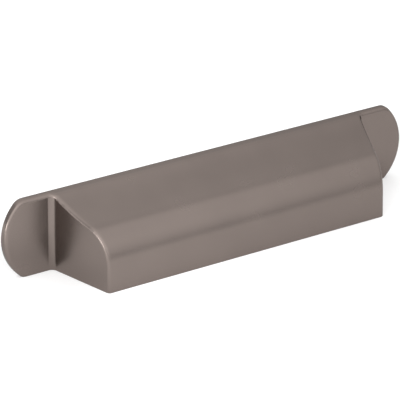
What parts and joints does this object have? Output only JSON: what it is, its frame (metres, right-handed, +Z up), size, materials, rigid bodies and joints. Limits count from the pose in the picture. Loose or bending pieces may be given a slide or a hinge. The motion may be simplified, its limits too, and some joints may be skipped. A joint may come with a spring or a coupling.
{
  "type": "sash lift handle",
  "caption": "Hooded finger pull for a window sash or drawer: a hollow die-cast hood with round flush ears, fixed from behind by machine screws.",
  "frame": {"origin": "midway between the two screw axes, on the casting's flat back face", "axes": "+X along the handle, -Y the way the hood projects, +Y along the screws into the rail, +Z up"},
  "size_m": [0.1446, 0.0468, 0.0254],
  "materials": {
    "casting": "satin pewter plating on die-cast zinc",
    "screws": "bright zinc plated steel",
    "washers": "bright zinc plated steel"
  },
  "bodies": {
    "root": {"casting": "casting", "screw_left": "screws", "screw_right": "screws", "washer_left": "washers", "washer_right": "washers"}
  },
  "joints": []
}
